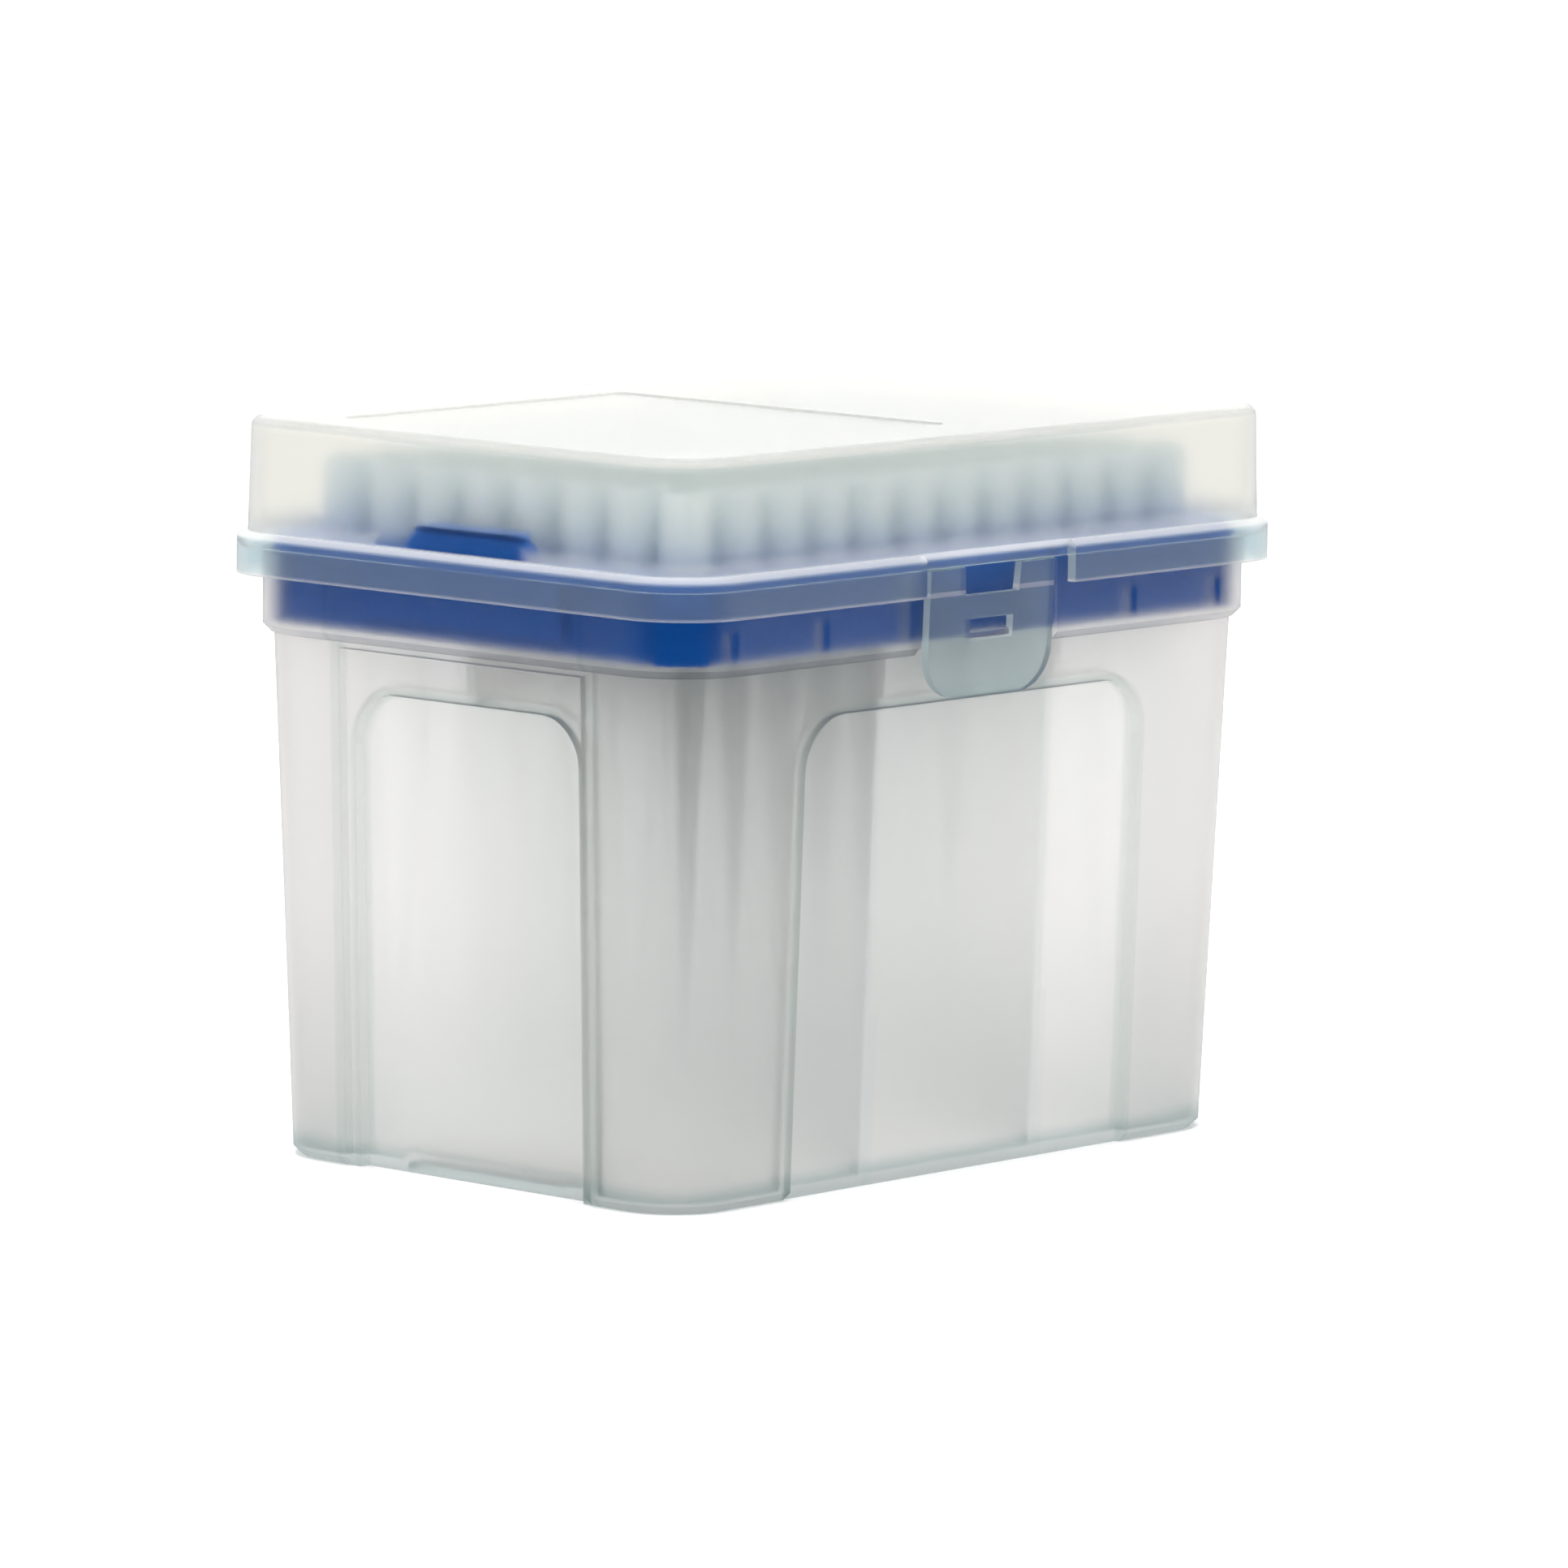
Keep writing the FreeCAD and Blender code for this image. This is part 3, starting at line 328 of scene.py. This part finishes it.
# Living hinge: two short webs of the lid's own plastic, 0.3 mm high and waisted so that they bend.
# They join the latch to the lid on each side of the latch's window, and here they turn with the latch.
WEB_NEAR_X = 6.0 * MM
WEB_FAR_X = 13.1 * MM
WEB_THICK = 1.2 * MM
WEB_WAIST = 0.45
WEB_GAP = 0.02 * MM
WEB_RISE = 0.2 * MM
latch_hinge = next(joint for joint in frame["joints"] if joint["name"] == "latch_hinge")
hinge_y, hinge_z = latch_hinge["pos_m"][1:]
web_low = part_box("latch")[1][2] + WEB_GAP
web_high = hinge_z + WEB_RISE - WEB_GAP
for name, side in (("latch_web_left", -1), ("latch_web_right", 1)):
    middle = (side * (WEB_NEAR_X + WEB_FAR_X) / 2, hinge_y + WEB_THICK / 2, (web_low + web_high) / 2)
    bpy.ops.object.select_all(action="DESELECT")
    bpy.ops.mesh.primitive_cube_add(size=1.0, location=middle,
                                    scale=(WEB_FAR_X - WEB_NEAR_X, WEB_THICK, web_high - web_low))
    web = bpy.context.object
    web.name = name
    bpy.ops.object.transform_apply(location=True, rotation=False, scale=True)
    bpy.ops.object.mode_set(mode="EDIT")
    bpy.ops.mesh.select_all(action="SELECT")
    bpy.ops.mesh.bisect(plane_co=middle, plane_no=(0, 0, 1))
    bpy.ops.transform.resize(value=(1, WEB_WAIST, 1), center_override=middle)
    bpy.ops.object.mode_set(mode="OBJECT")
    web.data.materials.append(lid_plastic)
    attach(web, "latch")

# Tray: one loose moulding in blue polypropylene, a deck with 96 holes over a skirt. It is laid on the
# tub's inner ledge and carries the tips by their collars, whose foot is level with its deck.
TRAY_BLUE = "0058B0"
TRAY_WAVE = "005EBA"
TRAY_CLOUD = 12.0 * MM
SKIRT_BLUE = "004898"
TIP_COLLAR_LENGTH = 11.0 * MM
DECK_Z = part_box("tips_column_01")[1][2] - TIP_COLLAR_LENGTH
SKIRT_START_Z = DECK_Z - 1.0 * MM
SKIRT_FULL_Z = DECK_Z - 6.0 * MM

# Blue polypropylene, coloured through and moulded in a polished tool: a strong even blue with a clear
# gloss, deeper down the skirt where less light reaches it.
tray_plastic = new_material("blue moulded polypropylene")
tree = tray_plastic.node_tree
place = add_node(tree, "ShaderNodeTexCoord")
cloud = add_node(tree, "ShaderNodeTexNoise", {"Scale": 1 / TRAY_CLOUD, "Detail": 3.0},
                 {"Vector": place.outputs["Object"]})
blue = add_node(tree, "ShaderNodeMix", {"data_type": "RGBA", 6: colour(TRAY_BLUE), 7: colour(TRAY_WAVE)},
                {0: cloud.outputs["Fac"]})
axes = add_node(tree, "ShaderNodeSeparateXYZ", {}, {"Vector": place.outputs["Object"]})
below = add_node(tree, "ShaderNodeMapRange",
                 {"interpolation_type": "SMOOTHSTEP", "From Min": SKIRT_FULL_Z, "From Max": SKIRT_START_Z,
                  "To Min": 1.0, "To Max": 0.0}, {"Value": axes.outputs["Z"]})
blue = add_node(tree, "ShaderNodeMix", {"data_type": "RGBA", 7: colour(SKIRT_BLUE)},
                {0: below.outputs["Result"], 6: blue.outputs[2]})
skin = moulded_skin(tree, place, ripple_mm=10, grain_mm=0.5, depth_mm=0.04)
body = add_node(tree, "ShaderNodeBsdfPrincipled",
                {"Roughness": 0.22, "IOR": 1.49, "Specular Tint": (0.1, 0.1, 0.1, 1)},
                {"Base Color": blue.outputs[2], "Normal": skin.outputs["Normal"]})
add_node(tree, "ShaderNodeOutputMaterial", {}, {"Surface": body.outputs["BSDF"]})
dress("tip_tray", tray_plastic)

# Finger tabs: the tall rounded grips at the tray's two ends, moulded with it. Each sleeve encloses the
# short tab that the frame's tray carries and gives it its full height.
TAB_HALF = 11.6 * MM
TAB_OUTER_X = 59.0 * MM
TAB_INNER_X = 57.2 * MM
TAB_TOP_Z = DECK_Z + 4.0 * MM
TAB_CORNER = 3.0 * MM
TAB_CORNER_STEPS = 8
TAB_EDGE = 0.5 * MM
TAB_EDGE_STEPS = 3
TAB_EDGE_ANGLE = math.radians(50)
TAB_SKIN = 0.06 * MM
SMOOTH_ANGLE = math.radians(35)
for name, side in (("finger_tab_left", -1), ("finger_tab_right", 1)):
    middle = (side * (TAB_OUTER_X + TAB_INNER_X) / 2, 0, (TAB_TOP_Z + DECK_Z) / 2)
    bpy.ops.object.select_all(action="DESELECT")
    bpy.ops.mesh.primitive_cube_add(size=1.0, location=middle,
                                    scale=(TAB_OUTER_X - TAB_INNER_X + 2 * TAB_SKIN,
                                           2 * (TAB_HALF + TAB_SKIN), TAB_TOP_Z - DECK_Z))
    tab = bpy.context.object
    tab.name = name
    bpy.ops.object.transform_apply(location=True, rotation=False, scale=True)
    bpy.ops.object.mode_set(mode="EDIT")
    bpy.ops.mesh.select_all(action="DESELECT")
    bpy.ops.object.mode_set(mode="OBJECT")
    for edge in tab.data.edges:
        first, second = (tab.data.vertices[i].co for i in edge.vertices)
        on_top = min(first.z, second.z) > TAB_TOP_Z - TAB_EDGE
        edge.select = on_top and abs(first.y - second.y) < TAB_EDGE
    bpy.ops.object.mode_set(mode="EDIT")
    bpy.ops.mesh.bevel(offset=TAB_CORNER, segments=TAB_CORNER_STEPS)
    bpy.ops.object.mode_set(mode="OBJECT")
    soften = tab.modifiers.new("worn edge", "BEVEL")
    soften.width = TAB_EDGE
    soften.segments = TAB_EDGE_STEPS
    soften.limit_method = "ANGLE"
    soften.angle_limit = TAB_EDGE_ANGLE
    bpy.ops.object.modifier_apply(modifier=soften.name)
    bpy.ops.object.shade_smooth_by_angle(angle=SMOOTH_ANGLE)
    tab.data.materials.append(tray_plastic)
    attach(tab, "tub")

# Tips: 96 separate mouldings in natural polypropylene, in twelve columns of eight. Each has a fluted
# collar that sits on the tray, a socket for the pipette's nozzle, and a long shank to a fine point.
COLUMNS = 12
ROWS = 8
PITCH = 9.0 * MM
SEGMENTS = 16
tips_low, tips_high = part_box("tips_column_01")
TIP_TOP_Z = tips_high[2]
TIP_POINT_Z = tips_low[2]
COLLAR_Z = TIP_TOP_Z - TIP_COLLAR_LENGTH

# A tip's outline and its socket's, each as radius and height, from the rim downwards.
OUTSIDE = (
    (3.55 * MM, TIP_TOP_Z),
    (3.9 * MM, TIP_TOP_Z - 0.6 * MM),
    (3.9 * MM, COLLAR_Z + 0.5 * MM),
    (3.5 * MM, COLLAR_Z),
    (3.2 * MM, COLLAR_Z - 0.01 * MM),
    (2.2 * MM, TIP_TOP_Z - 38 * MM),
    (1.0 * MM, TIP_POINT_Z + 12 * MM),
    (0.55 * MM, TIP_POINT_Z),
)
SOCKET = (
    (3.2 * MM, TIP_TOP_Z),
    (2.85 * MM, TIP_TOP_Z - 9 * MM),
    (0.05 * MM, TIP_TOP_Z - 10 * MM),
)
FLUTE_DEPTH = 0.35 * MM
FLUTE_LOW_Z = COLLAR_Z + 0.2 * MM
FLUTE_HIGH_Z = TIP_TOP_Z - 0.3 * MM
FLUTE_FROM_RADIUS = 3.7 * MM
MILKY_FROM_Z = COLLAR_Z - 1.0 * MM
WELD = 0.001 * MM
COLLAR_MILK = "F6FDFF"
COLLAR_WAVE = "F0FAFD"
COLLAR_CLOUD = 5.0 * MM
SHANK_MILK = "FFFFFF"
SHANK_WAVE = "FDFFFF"
SHANK_CLOUD = 6.0 * MM


def tip_mesh(name):
    """One tip about the Z axis: a disc at the point, drawn up the outside and back down the socket."""
    bpy.ops.object.select_all(action="DESELECT")
    bpy.ops.mesh.primitive_circle_add(vertices=SEGMENTS, radius=OUTSIDE[-1][0], fill_type="NGON",
                                      location=(0, 0, TIP_POINT_Z))
    tip = bpy.context.object
    tip.name = name
    bpy.ops.object.transform_apply(location=True, rotation=False, scale=False)
    bpy.ops.object.mode_set(mode="EDIT")
    bpy.ops.mesh.select_all(action="SELECT")
    stations = list(reversed(OUTSIDE)) + list(SOCKET)
    for (radius, z), (next_radius, next_z) in zip(stations, stations[1:]):
        bpy.ops.mesh.extrude_edges_move(TRANSFORM_OT_translate={"value": (0, 0, next_z - z)})
        grown = next_radius / radius
        bpy.ops.transform.resize(value=(grown, grown, 1), center_override=(0, 0, 0))
    bpy.ops.mesh.merge(type="CENTER")
    bpy.ops.object.mode_set(mode="OBJECT")
    for point in tip.data.vertices:
        reach = math.hypot(point.co.x, point.co.y)
        step = round(math.atan2(point.co.y, point.co.x) / (2 * math.pi / SEGMENTS))
        if FLUTE_LOW_Z < point.co.z < FLUTE_HIGH_Z and reach > FLUTE_FROM_RADIUS and step % 2:
            point.co.x *= (reach - FLUTE_DEPTH) / reach
            point.co.y *= (reach - FLUTE_DEPTH) / reach
    return tip


# Natural polypropylene of the tips' collars, which are their thickest part: a soft, faintly blue
# white that lets some light through, with a fine grain from the tool.
collar_plastic = new_material("natural polypropylene of the tip collars")
tree = collar_plastic.node_tree
place = add_node(tree, "ShaderNodeTexCoord")
cloud = add_node(tree, "ShaderNodeTexNoise", {"Scale": 1 / COLLAR_CLOUD, "Detail": 2.0},
                 {"Vector": place.outputs["Object"]})
milk = add_node(tree, "ShaderNodeMix",
                {"data_type": "RGBA", 6: colour(COLLAR_MILK), 7: colour(COLLAR_WAVE)},
                {0: cloud.outputs["Fac"]})
skin = moulded_skin(tree, place, ripple_mm=6, grain_mm=0.4, depth_mm=0.02)
body = add_node(tree, "ShaderNodeBsdfPrincipled",
                {"Roughness": 0.6, "IOR": 1.12, "Transmission Weight": 0.26},
                {"Base Color": milk.outputs[2], "Normal": skin.outputs["Normal"]})
add_node(tree, "ShaderNodeOutputMaterial", {}, {"Surface": body.outputs["BSDF"]})

# Thin natural polypropylene of the tips' shanks: a wall of 0.4 mm lets light through almost unbent and
# hardly blurred, so its IOR is near 1 and its skin is smooth.
shank_plastic = new_material("thin natural polypropylene of the tip shanks")
tree = shank_plastic.node_tree
place = add_node(tree, "ShaderNodeTexCoord")
cloud = add_node(tree, "ShaderNodeTexNoise", {"Scale": 1 / SHANK_CLOUD, "Detail": 2.0},
                 {"Vector": place.outputs["Object"]})
milk = add_node(tree, "ShaderNodeMix",
                {"data_type": "RGBA", 6: colour(SHANK_MILK), 7: colour(SHANK_WAVE)},
                {0: cloud.outputs["Fac"]})
body = add_node(tree, "ShaderNodeBsdfPrincipled",
                {"Roughness": 0.0, "IOR": 1.03, "Transmission Weight": 1.0},
                {"Base Color": milk.outputs[2]})
add_node(tree, "ShaderNodeOutputMaterial", {}, {"Surface": body.outputs["BSDF"]})

pattern_tip = tip_mesh("pattern_tip")
pattern_tip.data.materials.append(collar_plastic)
pattern_tip.data.materials.append(shank_plastic)
for face in pattern_tip.data.polygons:
    face.material_index = 0 if face.center.z > MILKY_FROM_Z else 1
for column in range(COLUMNS):
    copies = []
    for row in range(ROWS):
        copy = pattern_tip.copy()
        copy.data = pattern_tip.data.copy()
        bpy.context.collection.objects.link(copy)
        x = (column - (COLUMNS - 1) / 2) * PITCH
        y = (row - (ROWS - 1) / 2) * PITCH
        copy.data.transform(Matrix.Translation((x, y, 0)))
        copies.append(copy)
    bpy.ops.object.select_all(action="DESELECT")
    for copy in copies:
        copy.select_set(True)
    bpy.context.view_layer.objects.active = copies[0]
    bpy.ops.object.join()
    tips = bpy.context.object
    tips.name = "tips_%02d" % (column + 1)
    bpy.ops.object.mode_set(mode="EDIT")
    bpy.ops.mesh.select_all(action="SELECT")
    bpy.ops.mesh.remove_doubles(threshold=WELD)
    bpy.ops.mesh.normals_make_consistent(inside=False)
    bpy.ops.object.mode_set(mode="OBJECT")
    bpy.ops.object.shade_smooth_by_angle(angle=SMOOTH_ANGLE)
    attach(tips, "tub")
    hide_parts("tips_column_%02d" % (column + 1))
bpy.data.objects.remove(pattern_tip)

# Floor: a sheet of matt white paper that runs on as the backdrop. Seen straight or through the clear
# plastic, it is nearly as white as the surround, and it keeps the box's soft shadow.
FLOOR_SIZE = 12.0
PAPER_WHITE = "FAFAFA"
PAPER_GLOW = 0.1
bpy.ops.object.select_all(action="DESELECT")
bpy.ops.mesh.primitive_plane_add(size=FLOOR_SIZE, location=(0, 0, 0))
floor = bpy.context.object
floor.name = "floor"
floor_paper = new_material("matt white paper")
tree = floor_paper.node_tree
path = add_node(tree, "ShaderNodeLightPath")
paper = add_node(tree, "ShaderNodeBsdfDiffuse", {"Color": colour(PAPER_WHITE)})
glow = add_node(tree, "ShaderNodeEmission", {"Color": (1, 1, 1, 1), "Strength": 1.0})
straight = add_node(tree, "ShaderNodeMath", {"operation": "MULTIPLY", 1: PAPER_GLOW},
                    {0: path.outputs["Is Camera Ray"]})
share = add_node(tree, "ShaderNodeMath", {"operation": "MAXIMUM"},
                 {0: straight.outputs["Value"], 1: path.outputs["Is Transmission Ray"]})
both = add_node(tree, "ShaderNodeMixShader", {},
                {0: share.outputs["Value"], 1: paper.outputs["BSDF"], 2: glow.outputs["Emission"]})
add_node(tree, "ShaderNodeOutputMaterial", {}, {"Surface": both.outputs["Shader"]})
floor.data.materials.append(floor_paper)

# Light: a white surround, one large soft lamp overhead, and a wide soft panel behind the box that
# lifts its upper faces. The clear plastic shows the surround behind it as white.
LAMP_SIZE = 1.0
LAMP_POWER = 9.0
LAMP_PLACE = (-0.1, 0.0, 0.9)
PANEL_WIDTH = 2.4
PANEL_HEIGHT = 0.9
PANEL_POWER = 7.0
PANEL_AWAY = 3.0
PANEL_Z = 0.65
AZIMUTH = math.radians(-48.16)
world = bpy.data.worlds.new("white studio")
bpy.context.scene.world = world
world.use_nodes = True
tree = world.node_tree
tree.nodes.clear()
white = add_node(tree, "ShaderNodeBackground", {"Color": (1, 1, 1, 1), "Strength": 1.0})
add_node(tree, "ShaderNodeOutputWorld", {}, {"Surface": white.outputs["Background"]})

lamp_data = bpy.data.lights.new("overhead", "AREA")
lamp_data.shape = "SQUARE"
lamp_data.size = LAMP_SIZE
lamp_data.energy = LAMP_POWER
lamp = bpy.data.objects.new("overhead", lamp_data)
bpy.context.collection.objects.link(lamp)
lamp.location = LAMP_PLACE

panel_data = bpy.data.lights.new("back_panel", "AREA")
panel_data.shape = "RECTANGLE"
panel_data.size = PANEL_WIDTH
panel_data.size_y = PANEL_HEIGHT
panel_data.energy = PANEL_POWER
panel = bpy.data.objects.new("back_panel", panel_data)
bpy.context.collection.objects.link(panel)
panel.location = (-math.sin(AZIMUTH) * PANEL_AWAY, math.cos(AZIMUTH) * PANEL_AWAY, PANEL_Z)
panel.rotation_euler = (-panel.location).to_track_quat("-Z", "Y").to_euler()
panel.visible_camera = False
panel.visible_transmission = False

# Camera: a long lens from a little above the lid, towards the corner between the latch side and the
# short side, so that both stand nearly upright.
ELEVATION = math.radians(7.51)
ROLL = math.radians(0.734)
DISTANCE = 1.4766
AIM = Vector((0, 0, 0.0492))
ASIDE = 0.0041
UPWARD = 0.0016
LENS = 239.3
level_back = math.cos(ELEVATION)
back = Vector((math.sin(AZIMUTH) * level_back, -math.cos(AZIMUTH) * level_back, math.sin(ELEVATION)))
right = (-back).cross(Vector((0, 0, 1))).normalized()
up = right.cross(-back)
level = Matrix((right, up, back)).transposed()
camera_data = bpy.data.cameras.new("camera")
camera_data.lens = LENS
camera_data.sensor_width = 36.0
camera_data.clip_end = 50.0
camera = bpy.data.objects.new("camera", camera_data)
bpy.context.collection.objects.link(camera)
camera.location = AIM + right * ASIDE + up * UPWARD + back * DISTANCE
camera.rotation_euler = (level @ Matrix.Rotation(ROLL, 3, "Z")).to_euler()
bpy.context.scene.camera = camera

# Light passes many walls of clear plastic one behind another, so it is followed for longer than usual.
scene = bpy.context.scene
scene.view_settings.view_transform = "Standard"
scene.cycles.max_bounces = 22
scene.cycles.transmission_bounces = 20
scene.cycles.glossy_bounces = 8
scene.cycles.transparent_max_bounces = 16
